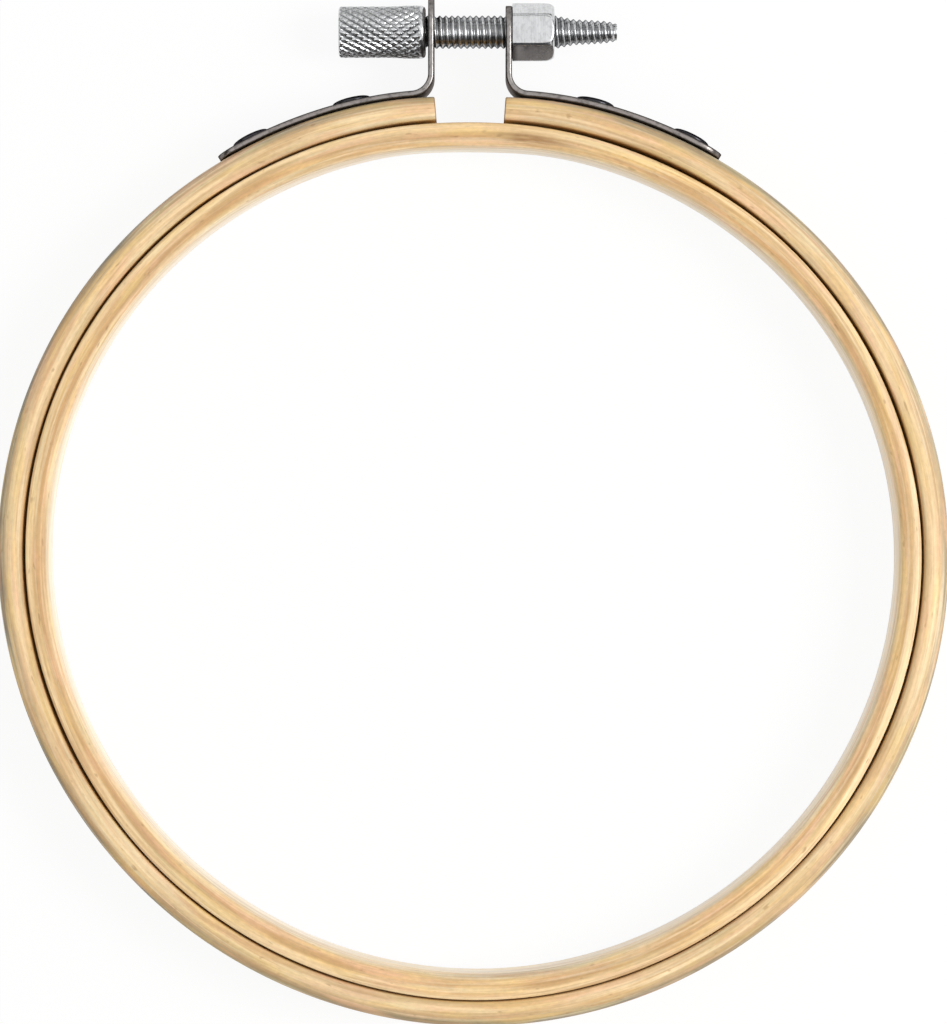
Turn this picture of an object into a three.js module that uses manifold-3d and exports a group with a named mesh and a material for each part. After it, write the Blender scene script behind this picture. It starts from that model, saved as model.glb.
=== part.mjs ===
// Embroidery hoop: two bamboo hoops, one inside the other, and a steel screw clamp
// that draws the ends of the split outer hoop together.
// Millimetres, +Z up. The hoops lie flat on z = 0 and the clamp is on the +Y side.
// The part is drawn about the middle of the hoops. Its origin is then moved to the
// middle of the footprint.
import * as THREE from "three";
import { mergeVertices } from "three/addons/utils/BufferGeometryUtils.js";
import Module from "manifold-3d";

// Hoops
const HOOP_HEIGHT = 8.5;
const JOINT_RADIUS = 50.8;       // middle of the joint line, half of a 4 inch hoop
const JOINT_GAP = 0.35;          // room for the cloth
const OUTER_WALL = 2.9;
const INNER_WALL = 2.7;
const EDGE_ROUND = 0.5;
const SKIN_EDGE_ROUND = 0.9;     // upper outside edge of the outer hoop
const SPLIT_HALF_ANGLE = 4.4;    // degrees from the middle of the split to each end
const HOOP_STEPS = 108;

// Bent strips that carry the screw
const STRIP_WIDTH = 7.4;
const STRIP_THICKNESS = 0.7;
const STRIP_SEAT = 0.15;         // between a strip and the hoop under it
const EAR_GAP = 8.2;             // between the two upright ears
const BEND_RADIUS = 2.0;
const RIGHT_FLANGE_ANGLE = 31.6; // degrees from the middle of the split
const LEFT_FLANGE_ANGLE = 32.5;
const FLANGE_CORNER = 2.4;
const EAR_CORNER = 2.6;
const RIGHT_EAR_TOP = 2.9;       // above the axis of the screw
const LEFT_EAR_TOP = 3.92;

// Rivets
const RIVET_ANGLES = [15, 28];
const RIVET_HEAD_RADIUS = 2.15;
const RIVET_HEAD_HEIGHT = 0.6;
const RIVET_SHANK_RADIUS = 0.95;
const RIVET_TAIL_RADIUS = 1.6;
const RIVET_TAIL_HEIGHT = 0.45;
const RIVET_RECESS = 0.8;        // depth of the pocket for the clinched tail
const RIVET_CLEARANCE = 0.15;

// Screw
const SCREW_HEIGHT = 6.68;       // axis above the outer hoop
const ROD_RADIUS = 1.9;          // over the crests of an M4 thread
const ROD_TAIL_START = 9.9;      // the end thins from here, and again at each place below
const ROD_NECK_END = 12.0;
const ROD_NECK_RADIUS = 1.48;
const ROD_POINT_START = 15.6;
const ROD_POINT_RADIUS = 1.27;
const ROD_END = 16.9;
const ROD_END_RADIUS = 0.92;
const EAR_HOLE_CLEARANCE = 0.35;

// Nut that is swaged into the right ear
const NUT_ACROSS_FLATS = 6.0;    // a common hexagon bar
const NUT_LENGTH = 4.9;
const NUT_END_RADIUS = 2.75;     // flat face at the rounded outer end
const NUT_ROUND_START = 3.1;     // from the ear to where the corners start to round
const NUT_NECK_RADIUS = 2.5;
const NUT_NECK_CLEARANCE = 0.1;
const NUT_BORE_CLEARANCE = 0.25;

// Knob
const KNOB_RADIUS = 2.95;
const KNOB_LENGTH = 10;
const KNOB_RUNNING_GAP = 0.3;    // between the knob and the left ear
const KNOB_COLLAR = 0.6;         // plain band beside the ear
const KNOB_COLLAR_RADIUS = 2.85;
const KNOB_CHAMFER = 0.35;
const KNOB_BORE_DEPTH = 8.0;
const KNOB_BORE_CLEARANCE = 0.1;
const KNURL_STARTS = 22;
const KNURL_ANGLE = 34;          // degrees between a groove and the axis
const KNURL_DEPTH = 0.3;
const KNURL_LAND = 0.08;         // cut off the points of the diamonds

// What follows from the sizes above
const OUTER_HOOP_IN = JOINT_RADIUS + JOINT_GAP / 2;
const OUTER_HOOP_OUT = OUTER_HOOP_IN + OUTER_WALL;
const INNER_HOOP_OUT = JOINT_RADIUS - JOINT_GAP / 2;
const INNER_HOOP_IN = INNER_HOOP_OUT - INNER_WALL;
const MIDDLE_Z = HOOP_HEIGHT / 2;
const SCREW_Y = OUTER_HOOP_OUT + SCREW_HEIGHT;
const STRIP_IN = OUTER_HOOP_OUT + STRIP_SEAT;
const STRIP_OUT = STRIP_IN + STRIP_THICKNESS;
const EAR_IN = EAR_GAP / 2;
const EAR_OUT = EAR_IN + STRIP_THICKNESS;
const KNOB_RIGHT = -EAR_OUT - KNOB_RUNNING_GAP;
const KNOB_LEFT = KNOB_RIGHT - KNOB_LENGTH;
const CUT = 1;                   // how far a cutter runs past the face it cuts

const wasm = await Module();
wasm.setup();

const degrees = THREE.MathUtils.degToRad;

function solid(geometry) {
  const bare = geometry.clone();
  bare.deleteAttribute("normal");
  bare.deleteAttribute("uv");
  const merged = mergeVertices(bare, 1e-4);
  const mesh = new wasm.Mesh({
    numProp: 3,
    vertProperties: new Float32Array(merged.attributes.position.array),
    triVerts: new Uint32Array(merged.index.array),
  });
  return new wasm.Manifold(mesh);
}

function geometryOf(body) {
  const mesh = body.getMesh();
  const geometry = new THREE.BufferGeometry();
  geometry.setAttribute("position", new THREE.BufferAttribute(mesh.vertProperties, 3));
  geometry.setIndex(new THREE.BufferAttribute(mesh.triVerts, 1));
  const shown = geometry.toNonIndexed();
  shown.computeVertexNormals();
  return shown;
}

// A turned solid: the profile is a list of [radius, height] and the axis is +Y.
function turned(profile, steps) {
  const points = profile.map(([radius, height]) => new THREE.Vector2(radius, height));
  return new THREE.LatheGeometry(points, steps);
}

// Turned about +Y, then laid along +X at the height and distance of the screw.
function onScrewAxis(geometry) {
  geometry.rotateZ(-Math.PI / 2);
  geometry.translate(0, SCREW_Y, MIDDLE_Z);
  return geometry;
}

// Drawn at the top of the hoop, then carried round it towards +X.
function aroundHoop(geometry, angle) {
  geometry.rotateZ(-degrees(angle));
  return geometry;
}

function boreAlongScrew(radius, from, to, steps) {
  const bore = new THREE.CylinderGeometry(radius, radius, to - from, steps);
  bore.translate(0, (from + to) / 2, 0);
  return solid(onScrewAxis(bore));
}

function radialHole(radius, from, to, angle) {
  const hole = new THREE.CylinderGeometry(radius, radius, to - from, 20);
  hole.translate(0, (from + to) / 2, MIDDLE_Z);
  return solid(aroundHoop(hole, angle));
}

// A quarter round of the hoop's section, as [radius, height] points.
function sectionCorner(radius, height, firstAngle, round) {
  return [0, 1, 2].map((step) => {
    const angle = degrees(firstAngle + 45 * step);
    return [radius + round * Math.cos(angle), height + round * Math.sin(angle)];
  });
}

function hoopRing(inside, outside, outerTopRound) {
  const low = EDGE_ROUND;
  const high = HOOP_HEIGHT - EDGE_ROUND;
  const profile = [
    ...sectionCorner(outside - EDGE_ROUND, low, -90, EDGE_ROUND),
    ...sectionCorner(outside - outerTopRound, HOOP_HEIGHT - outerTopRound, 0, outerTopRound),
    ...sectionCorner(inside + EDGE_ROUND, high, 90, EDGE_ROUND),
    ...sectionCorner(inside + EDGE_ROUND, low, 180, EDGE_ROUND),
  ];
  profile.push(profile[0]);
  const ring = turned(profile, HOOP_STEPS);
  ring.rotateX(Math.PI / 2);
  return ring;
}

// The wedge that the split takes out of the hoop.
function splitWedge() {
  const reach = OUTER_HOOP_OUT + 4;
  const half = reach * Math.tan(degrees(SPLIT_HALF_ANGLE));
  const wedge = new THREE.Shape();
  wedge.moveTo(0, 0);
  wedge.lineTo(half, reach);
  wedge.lineTo(-half, reach);
  wedge.closePath();
  const depth = HOOP_HEIGHT + 2 * CUT;
  const cutter = new THREE.ExtrudeGeometry(wedge, { depth, bevelEnabled: false });
  cutter.translate(0, 0, -CUT);
  return solid(cutter);
}

function rivetAngles() {
  return RIVET_ANGLES.flatMap((angle) => [-angle, angle]);
}

function outerHoop() {
  const ring = hoopRing(OUTER_HOOP_IN, OUTER_HOOP_OUT, SKIN_EDGE_ROUND);
  let hoop = solid(ring).subtract(splitWedge());
  const hole = RIVET_SHANK_RADIUS + RIVET_CLEARANCE;
  const pocket = RIVET_TAIL_RADIUS + RIVET_CLEARANCE;
  for (const angle of rivetAngles()) {
    hoop = hoop.subtract(
      radialHole(hole, OUTER_HOOP_IN - CUT, OUTER_HOOP_OUT + CUT, angle));
    hoop = hoop.subtract(
      radialHole(pocket, OUTER_HOOP_IN - CUT, OUTER_HOOP_IN + RIVET_RECESS, angle));
  }
  return geometryOf(hoop);
}

// Side view of the right strip: an ear, a bend and a flange that follows the hoop.
function stripOutline(top, flangeAngle) {
  const bendX = EAR_OUT + BEND_RADIUS;
  const bendY = Math.sqrt((STRIP_OUT + BEND_RADIUS) ** 2 - bendX ** 2);
  const meet = Math.atan2(bendY, bendX);
  const end = degrees(90 - flangeAngle);
  const outline = new THREE.Shape();
  outline.moveTo(EAR_IN, top);
  outline.lineTo(EAR_IN, bendY);
  outline.absarc(bendX, bendY, BEND_RADIUS + STRIP_THICKNESS, Math.PI, meet + Math.PI, false);
  outline.absarc(0, 0, STRIP_IN, meet, end, true);
  outline.lineTo(STRIP_OUT * Math.cos(end), STRIP_OUT * Math.sin(end));
  outline.absarc(0, 0, STRIP_OUT, end, meet, false);
  outline.absarc(bendX, bendY, BEND_RADIUS, meet + Math.PI, Math.PI, true);
  outline.lineTo(EAR_OUT, top);
  outline.closePath();
  return outline;
}

// Trims the two corners of a strip that ends at y = 0 to a radius.
function cornerTrimmer(corner, depth) {
  const half = STRIP_WIDTH / 2;
  const outside = half + CUT;
  const trim = new THREE.Shape();
  trim.moveTo(outside, -corner);
  trim.lineTo(outside, CUT);
  trim.lineTo(-outside, CUT);
  trim.lineTo(-outside, -corner);
  trim.lineTo(-half, -corner);
  trim.absarc(-half + corner, -corner, corner, Math.PI, Math.PI / 2, true);
  trim.lineTo(half - corner, 0);
  trim.absarc(half - corner, -corner, corner, Math.PI / 2, 0, true);
  trim.closePath();
  const cutter = new THREE.ExtrudeGeometry(trim, {
    depth, bevelEnabled: false, curveSegments: 6,
  });
  cutter.translate(0, 0, -depth / 2);
  return cutter;
}

function earTrimmer(top) {
  const cutter = cornerTrimmer(EAR_CORNER, 4);
  cutter.rotateY(Math.PI / 2);
  cutter.translate((EAR_IN + EAR_OUT) / 2, top, MIDDLE_Z);
  return solid(cutter);
}

function flangeTrimmer(flangeAngle) {
  const cutter = cornerTrimmer(FLANGE_CORNER, 4);
  cutter.rotateZ(-Math.PI / 2);
  cutter.rotateX(Math.PI / 2);
  cutter.translate(0, (STRIP_IN + STRIP_OUT) / 2, MIDDLE_Z);
  return solid(aroundHoop(cutter, flangeAngle));
}

// Drawn on the right. The left bracket is a mirror image of one.
function bracket(earTop, flangeAngle, screwHole) {
  const top = SCREW_Y + earTop;
  const strip = new THREE.ExtrudeGeometry(stripOutline(top, flangeAngle), {
    depth: STRIP_WIDTH, bevelEnabled: false, curveSegments: 12,
  });
  strip.translate(0, 0, MIDDLE_Z - STRIP_WIDTH / 2);
  let body = solid(strip).subtract(earTrimmer(top)).subtract(flangeTrimmer(flangeAngle));
  body = body.subtract(boreAlongScrew(screwHole, EAR_IN - CUT, EAR_OUT + CUT, 32));
  const hole = RIVET_SHANK_RADIUS + RIVET_CLEARANCE;
  for (const angle of RIVET_ANGLES) {
    body = body.subtract(radialHole(hole, STRIP_IN - CUT, STRIP_OUT + CUT, angle));
  }
  return body;
}

function rightBracket() {
  const hole = NUT_NECK_RADIUS + NUT_NECK_CLEARANCE;
  return geometryOf(bracket(RIGHT_EAR_TOP, RIGHT_FLANGE_ANGLE, hole));
}

function leftBracket() {
  const hole = ROD_RADIUS + EAR_HOLE_CLEARANCE;
  return geometryOf(bracket(LEFT_EAR_TOP, LEFT_FLANGE_ANGLE, hole).mirror([1, 0, 0]));
}

// Domed head outside the flange, shank through strip and hoop, clinched tail in its pocket.
function rivet(angle) {
  const seat = 0.05;
  const headBase = STRIP_OUT + seat;
  const tailTop = OUTER_HOOP_IN + RIVET_RECESS - seat;
  const profile = [
    [0, tailTop - RIVET_TAIL_HEIGHT],
    [RIVET_TAIL_RADIUS - 0.15, tailTop - RIVET_TAIL_HEIGHT],
    [RIVET_TAIL_RADIUS, tailTop - RIVET_TAIL_HEIGHT + 0.15],
    [RIVET_TAIL_RADIUS, tailTop],
    [RIVET_SHANK_RADIUS, tailTop],
    [RIVET_SHANK_RADIUS, headBase],
    [RIVET_HEAD_RADIUS, headBase],
  ];
  for (const part of [0.25, 0.5, 0.75, 1]) {
    const rise = degrees(90 * part);
    const radius = part === 1 ? 0 : RIVET_HEAD_RADIUS * Math.cos(rise);
    profile.push([radius, headBase + RIVET_HEAD_HEIGHT * Math.sin(rise)]);
  }
  const body = turned(profile, 20);
  body.translate(0, 0, MIDDLE_Z);
  return aroundHoop(body, angle);
}

// Hexagon with a flat up, rounded at its outer end, with a neck through the ear.
function clampNut() {
  const corner = NUT_ACROSS_FLATS / Math.sqrt(3);
  const hexagon = new THREE.CylinderGeometry(corner, corner, NUT_LENGTH, 6);
  hexagon.rotateY(Math.PI / 6);
  hexagon.translate(0, EAR_OUT + NUT_LENGTH / 2, 0);
  const roundStart = EAR_OUT + NUT_ROUND_START;
  const roundLength = NUT_LENGTH - NUT_ROUND_START;
  const envelope = [[0, EAR_OUT - CUT], [corner + CUT, EAR_OUT - CUT]];
  envelope.push([corner + CUT, roundStart]);
  for (let step = 0; step <= 5; step += 1) {
    const turn = degrees(18 * step);
    envelope.push([
      NUT_END_RADIUS + (corner - NUT_END_RADIUS) * Math.cos(turn),
      roundStart + roundLength * Math.sin(turn),
    ]);
  }
  envelope.push([0, EAR_OUT + NUT_LENGTH]);
  const head = solid(onScrewAxis(hexagon)).intersect(solid(onScrewAxis(turned(envelope, 48))));
  const neck = boreAlongScrew(NUT_NECK_RADIUS, EAR_IN, EAR_OUT + CUT, 32);
  const bore = boreAlongScrew(
    ROD_RADIUS + NUT_BORE_CLEARANCE, EAR_IN - CUT, EAR_OUT + NUT_LENGTH + CUT, 32);
  return geometryOf(head.add(neck).subtract(bore));
}

// A bar cut by two crossing families of grooves. The points of the diamonds and the
// crossings of the grooves take turns on an even grid, and each square of the grid is
// split along its groove.
function knurledBar(from, to) {
  const around = 2 * KNURL_STARTS;
  const lead = 2 * Math.PI * KNOB_RADIUS / Math.tan(degrees(KNURL_ANGLE));
  const rowLength = lead / around;
  const rows = Math.ceil((to - from) / rowLength);
  const positions = [];
  for (let row = 0; row <= rows; row += 1) {
    for (let column = 0; column < around; column += 1) {
      const peak = (row + column) % 2 === 0;
      const radius = peak ? KNOB_RADIUS + KNURL_LAND : KNOB_RADIUS - KNURL_DEPTH;
      const turn = (column / around) * 2 * Math.PI;
      positions.push(radius * Math.cos(turn), from + row * rowLength, radius * Math.sin(turn));
    }
  }
  const index = [];
  const at = (row, column) => row * around + (column % around);
  for (let row = 0; row < rows; row += 1) {
    for (let column = 0; column < around; column += 1) {
      const near = at(row, column);
      const side = at(row, column + 1);
      const above = at(row + 1, column);
      const far = at(row + 1, column + 1);
      if ((row + column) % 2 === 0) {
        index.push(near, above, side, side, above, far);
      } else {
        index.push(near, above, far, near, far, side);
      }
    }
  }
  positions.push(0, from, 0, 0, from + rows * rowLength, 0);
  const bottom = (rows + 1) * around;
  for (let column = 0; column < around; column += 1) {
    index.push(bottom, at(0, column), at(0, column + 1));
    index.push(bottom + 1, at(rows, column + 1), at(rows, column));
  }
  const bar = new THREE.BufferGeometry();
  bar.setAttribute("position", new THREE.Float32BufferAttribute(positions, 3));
  bar.setIndex(index);
  return bar;
}

function knurledKnob() {
  const collarStart = KNOB_RIGHT - KNOB_COLLAR;
  const blank = turned([
    [0, KNOB_LEFT],
    [KNOB_RADIUS - KNOB_CHAMFER, KNOB_LEFT],
    [KNOB_RADIUS, KNOB_LEFT + KNOB_CHAMFER],
    [KNOB_RADIUS, collarStart],
    [0, collarStart],
  ], 2 * KNURL_STARTS);
  const bar = knurledBar(KNOB_LEFT - CUT, collarStart + CUT);
  const grip = solid(onScrewAxis(bar)).intersect(solid(onScrewAxis(blank)));
  const collar = turned([
    [0, collarStart - CUT],
    [KNOB_RADIUS - KNURL_DEPTH - 0.1, collarStart - CUT],
    [KNOB_RADIUS - KNURL_DEPTH - 0.1, collarStart],
    [KNOB_COLLAR_RADIUS, collarStart],
    [KNOB_COLLAR_RADIUS, KNOB_RIGHT - KNOB_CHAMFER],
    [KNOB_COLLAR_RADIUS - KNOB_CHAMFER, KNOB_RIGHT],
    [0, KNOB_RIGHT],
  ], 48);
  const bore = boreAlongScrew(
    ROD_RADIUS + KNOB_BORE_CLEARANCE, KNOB_RIGHT - KNOB_BORE_DEPTH, KNOB_RIGHT + CUT, 32);
  return geometryOf(grip.add(solid(onScrewAxis(collar))).subtract(bore));
}

function clampScrew() {
  const start = KNOB_RIGHT - KNOB_BORE_DEPTH + KNOB_BORE_CLEARANCE;
  const profile = [
    [0, start],
    [ROD_RADIUS, start],
    [ROD_RADIUS, ROD_TAIL_START],
    [ROD_NECK_RADIUS, ROD_NECK_END],
    [ROD_POINT_RADIUS, ROD_POINT_START],
    [ROD_END_RADIUS, ROD_END],
    [0, ROD_END],
  ];
  return onScrewAxis(turned(profile, 32));
}

const OUTER_BAMBOO = new THREE.MeshStandardMaterial({
  color: "#ecd0a0", roughness: 0.55, metalness: 0,
});
const INNER_BAMBOO = new THREE.MeshStandardMaterial({
  color: "#e2c292", roughness: 0.6, metalness: 0,
});
const NICKELLED_STRIP = new THREE.MeshStandardMaterial({
  color: "#b9bbbd", roughness: 0.35, metalness: 1,
});
const NICKELLED_TURNED = new THREE.MeshStandardMaterial({
  color: "#c8cacc", roughness: 0.25, metalness: 1,
});

const hoop = new THREE.Group();

function addPiece(name, geometry, material) {
  const mesh = new THREE.Mesh(geometry, material.clone());
  mesh.name = name;
  hoop.add(mesh);
}

addPiece("outer_hoop", outerHoop(), OUTER_BAMBOO);
addPiece("inner_hoop", hoopRing(INNER_HOOP_IN, INNER_HOOP_OUT, EDGE_ROUND), INNER_BAMBOO);
addPiece("left_bracket", leftBracket(), NICKELLED_STRIP);
addPiece("right_bracket", rightBracket(), NICKELLED_STRIP);
addPiece("left_inner_rivet", rivet(-RIVET_ANGLES[0]), NICKELLED_TURNED);
addPiece("left_outer_rivet", rivet(-RIVET_ANGLES[1]), NICKELLED_TURNED);
addPiece("right_inner_rivet", rivet(RIVET_ANGLES[0]), NICKELLED_TURNED);
addPiece("right_outer_rivet", rivet(RIVET_ANGLES[1]), NICKELLED_TURNED);
addPiece("clamp_nut", clampNut(), NICKELLED_TURNED);
addPiece("clamp_screw", clampScrew(), NICKELLED_TURNED);
addPiece("knurled_knob", knurledKnob(), NICKELLED_TURNED);

// The origin goes to the middle of the footprint, at the level the hoops lie on.
const extent = new THREE.Box3().setFromObject(hoop);
const middle = extent.getCenter(new THREE.Vector3());
hoop.position.set(-middle.x, -middle.y, -extent.min.z);

const part = new THREE.Group();
part.add(hoop);

export default part;
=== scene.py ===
import math
import random

import bmesh
import bpy
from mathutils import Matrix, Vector


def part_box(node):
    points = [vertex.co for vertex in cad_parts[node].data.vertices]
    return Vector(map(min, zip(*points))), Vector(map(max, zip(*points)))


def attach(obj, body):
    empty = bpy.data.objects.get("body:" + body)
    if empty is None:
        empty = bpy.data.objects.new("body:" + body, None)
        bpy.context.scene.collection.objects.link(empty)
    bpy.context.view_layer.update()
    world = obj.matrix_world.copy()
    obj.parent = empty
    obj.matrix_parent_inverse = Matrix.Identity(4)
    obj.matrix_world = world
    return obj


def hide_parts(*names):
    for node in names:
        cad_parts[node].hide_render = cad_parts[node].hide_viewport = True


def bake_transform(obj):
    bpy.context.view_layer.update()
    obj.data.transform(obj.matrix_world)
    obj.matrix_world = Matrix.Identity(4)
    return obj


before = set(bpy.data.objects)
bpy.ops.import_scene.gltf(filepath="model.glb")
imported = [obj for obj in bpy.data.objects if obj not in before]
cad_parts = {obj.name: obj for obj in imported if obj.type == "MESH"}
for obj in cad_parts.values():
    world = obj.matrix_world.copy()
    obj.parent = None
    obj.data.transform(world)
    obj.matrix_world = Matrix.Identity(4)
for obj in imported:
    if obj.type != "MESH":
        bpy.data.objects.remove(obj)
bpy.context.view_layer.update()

bl_info = {
    "name": "Embroidery Hoop",
    "version": (1, 0, 0),
    "blender": (4, 5, 0),
    "location": "3D View > Sidebar > Embroidery Hoop",
    "description": "Builds a bamboo embroidery hoop with a plated screw clamp",
    "category": "Add Mesh",
}

MM = 0.001
INNER_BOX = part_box("inner_hoop")
OUTER_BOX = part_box("outer_hoop")
SCREW_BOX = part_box("clamp_screw")
KNOB_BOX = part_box("knurled_knob")
NUT_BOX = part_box("clamp_nut")
RIGHT_BRACKET_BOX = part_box("right_bracket")
LEFT_BRACKET_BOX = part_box("left_bracket")

HOOP_CENTRE_Y = (INNER_BOX[0][1] + INNER_BOX[1][1]) / 2
HOOP_HEIGHT = OUTER_BOX[1][2]
OUTER_RADIUS = (OUTER_BOX[1][0] - OUTER_BOX[0][0]) / 2
SCREW_Y = (SCREW_BOX[0][1] + SCREW_BOX[1][1]) / 2
SCREW_Z = (SCREW_BOX[0][2] + SCREW_BOX[1][2]) / 2


class HoopSizes(bpy.types.PropertyGroup):
    """Sizes of the two bamboo hoops."""

    outer_wall: bpy.props.FloatProperty(
        name="Outer wall", description="Thickness of the outer hoop",
        default=2.85 * MM, unit="LENGTH")
    inner_wall: bpy.props.FloatProperty(
        name="Inner wall", description="Mean thickness of the inner hoop",
        default=2.68 * MM, unit="LENGTH")
    wall_swing: bpy.props.FloatProperty(
        name="Wall swing", description="How much thicker the inner hoop is beside the clamp",
        default=0.11 * MM, unit="LENGTH")
    joint_ease: bpy.props.FloatVectorProperty(
        name="Joint ease",
        description="How far the hoops stand apart at even steps clockwise from the split",
        default=(0.23 * MM, 0.38 * MM, 0.19 * MM, 0.26 * MM, 0.17 * MM, 0.16 * MM, 0.0,
                 0.02 * MM, 0.01 * MM, 0.08 * MM, 0.09 * MM, 0.24 * MM, 0.2 * MM, 0.16 * MM,
                 0.18 * MM, 0.1 * MM), size=16, unit="LENGTH")
    joint_gap: bpy.props.FloatProperty(
        name="Joint gap", description="Room between the hoops at their top edge",
        default=0.17 * MM, unit="LENGTH")
    sprung_shape: bpy.props.FloatVectorProperty(
        name="Sprung shape",
        description="Out of round: cosine and sine of two and of three waves round the hoop",
        default=(-0.523 * MM, -0.168 * MM, -0.143 * MM, 0.02 * MM), size=4, unit="LENGTH")
    split_half_angle: bpy.props.FloatProperty(
        name="Split half angle", description="From the middle of the split to each end",
        default=math.radians(4.4), subtype="ANGLE")
    crown: bpy.props.FloatProperty(
        name="Crown", description="How far the sanded faces rise in their middle",
        default=0.12 * MM, unit="LENGTH")
    clamp_offset: bpy.props.FloatProperty(
        name="Clamp offset", description="How far the clamp sits to the left of the hoops' middle",
        default=0.4 * MM, unit="LENGTH")


class ClampSizes(bpy.types.PropertyGroup):
    """Sizes of the plated steel parts."""

    ear_gap: bpy.props.FloatProperty(
        name="Ear gap", description="Between the upright ears of the two strips",
        default=8.2 * MM, unit="LENGTH")
    strip_thickness: bpy.props.FloatProperty(
        name="Strip thickness", description="Thickness of the bent strips",
        default=0.7 * MM, unit="LENGTH")
    strip_width: bpy.props.FloatProperty(
        name="Strip width", description="Width of the bent strips",
        default=7.4 * MM, unit="LENGTH")
    bend_radius: bpy.props.FloatProperty(
        name="Bend radius", description="Inside radius of the bend",
        default=2.0 * MM, unit="LENGTH")
    left_flange_angle: bpy.props.FloatProperty(
        name="Left flange angle", description="From the middle of the split to its end",
        default=math.radians(32.5), subtype="ANGLE")
    right_flange_angle: bpy.props.FloatProperty(
        name="Right flange angle", description="From the middle of the split to its end",
        default=math.radians(31.6), subtype="ANGLE")
    thread_pitch: bpy.props.FloatProperty(
        name="Thread pitch", description="Advance of the screw in one turn",
        default=0.7 * MM, unit="LENGTH")
    thread_radius: bpy.props.FloatProperty(
        name="Thread radius", description="Over the crests of the thread",
        default=1.9 * MM, unit="LENGTH")
    thread_depth: bpy.props.FloatProperty(
        name="Thread depth", description="From crest to root",
        default=0.25 * MM, unit="LENGTH")
    knurl_starts: bpy.props.IntProperty(
        name="Knurl starts", description="Grooves of each hand around the knob", default=22)
    knurl_angle: bpy.props.FloatProperty(
        name="Knurl angle", description="Between a groove and the axis",
        default=math.radians(34), subtype="ANGLE")
    knurl_depth: bpy.props.FloatProperty(
        name="Knurl depth", description="Depth of the grooves",
        default=0.23 * MM, unit="LENGTH")


class HoopColours(bpy.types.PropertyGroup):
    """Colours of the bamboo, the metal and the stage, written as sRGB."""

    bamboo_pale: bpy.props.StringProperty(
        name="Pale bamboo", description="Light fibre bands", default="#fbe6bd")
    bamboo_brown: bpy.props.StringProperty(
        name="Brown bamboo", description="Darker fibre bands", default="#cba06a")
    bamboo_rose: bpy.props.StringProperty(
        name="Rosy bamboo", description="Warm patches", default="#ecbc94")
    bamboo_green: bpy.props.StringProperty(
        name="Green bamboo", description="Patches that keep a trace of green", default="#dccb92")
    bamboo_straw: bpy.props.StringProperty(
        name="Straw bamboo", description="Yellower patches", default="#efca7e")
    bamboo_dash: bpy.props.StringProperty(
        name="Fibre dashes", description="Cut ends of the fibre bundles", default="#8e6232")
    bamboo_skin: bpy.props.StringProperty(
        name="Bamboo skin", description="Greyer outer surface of the culm", default="#cfb482")
    # The inner hoop's inside face: pale sanded bamboo, lightened almost to white as painted light
    # on the shaded upright wall.
    bamboo_wall_and_light: bpy.props.StringProperty(
        name="Inner wall", description="Pale sanded wall inside the hoop", default="#fdf4e4")
    bamboo_raw: bpy.props.StringProperty(
        name="Raw bamboo", description="Bare faces that bear on the cloth", default="#eccb8a")
    nickel: bpy.props.StringProperty(
        name="Nickel plating", description="Bright plating", default="#dfe0e1")
    strip: bpy.props.StringProperty(
        name="Strip plating", description="Duller plating of the strips", default="#9f9c9a")
    rivet: bpy.props.StringProperty(
        name="Rivet steel", description="Dark steel of the rivets", default="#434246")
    # Dark plating colour: in the fine lines and dull specks, and as painted shade in the recesses
    # of the thread, the knurl, the bores and the strips' corners.
    tarnish_and_shade: bpy.props.StringProperty(
        name="Recesses", description="Dull plating in the recesses", default="#2c2e31")
    sheared: bpy.props.StringProperty(
        name="Sheared edges", description="Dull edges of the stamped strips", default="#938c88")
    strip_slant: bpy.props.StringProperty(
        name="Strips at a slant", description="Tint of what the strips mirror at a slant",
        default="#6f6a68")
    rivet_slant: bpy.props.StringProperty(
        name="Rivets at a slant", description="Tint of what the rivets mirror at a slant",
        default="#6c6663")
    thread_slant: bpy.props.StringProperty(
        name="Thread at a slant", description="Tint of what the thread mirrors at a slant",
        default="#58595c")
    floor: bpy.props.StringProperty(
        name="Floor", description="Studio floor", default="#fdfdfc")
    black_flag: bpy.props.StringProperty(
        name="Black flags", description="Cloth of the darkest studio flags", default="#1c1c1d")
    grey_flag: bpy.props.StringProperty(
        name="Grey flag", description="Cloth of the flag in front", default="#4c4c4e")


class StageSettings(bpy.types.PropertyGroup):
    """Camera and light."""

    camera_distance: bpy.props.FloatProperty(
        name="Camera distance", description="From the camera to the top of the hoops",
        default=0.48, unit="LENGTH")
    view_height: bpy.props.FloatProperty(
        name="View height", description="Height of the view at the top of the hoops",
        default=116.9 * MM, unit="LENGTH")
    key_power: bpy.props.FloatProperty(
        name="Key light", description="Power of the main softbox", default=3.3)
    fill_power: bpy.props.FloatProperty(
        name="Fill light", description="Power of the fill softbox", default=0.5)
    room_level: bpy.props.FloatProperty(
        name="Room light", description="Light from the white room all around", default=0.57)
    shadow_share: bpy.props.FloatProperty(
        name="Shadow share", description="How much of the floor's shadow the camera sees",
        default=0.09, subtype="FACTOR")


def linear(hex_colour):
    """An sRGB hex colour as linear RGBA."""
    values = []
    for start in (1, 3, 5):
        level = int(hex_colour[start:start + 2], 16) / 255
        values.append(level / 12.92 if level <= 0.04045 else ((level + 0.055) / 1.055) ** 2.4)
    return (*values, 1.0)


def add_node(tree, kind, settings=None, links=None):
    """Adds a node, sets its properties and input values, and links its inputs.

    A link comes from a socket, or from a node, which gives its first enabled output.
    """
    node = tree.nodes.new(kind)
    for key, value in (settings or {}).items():
        if isinstance(key, int) or key in node.inputs:
            node.inputs[key].default_value = value
        else:
            setattr(node, key, value)
    for key, source in (links or {}).items():
        if isinstance(source, bpy.types.Node):
            source = next(socket for socket in source.outputs if socket.enabled)
        tree.links.new(source, node.inputs[key])
    return node


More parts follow.
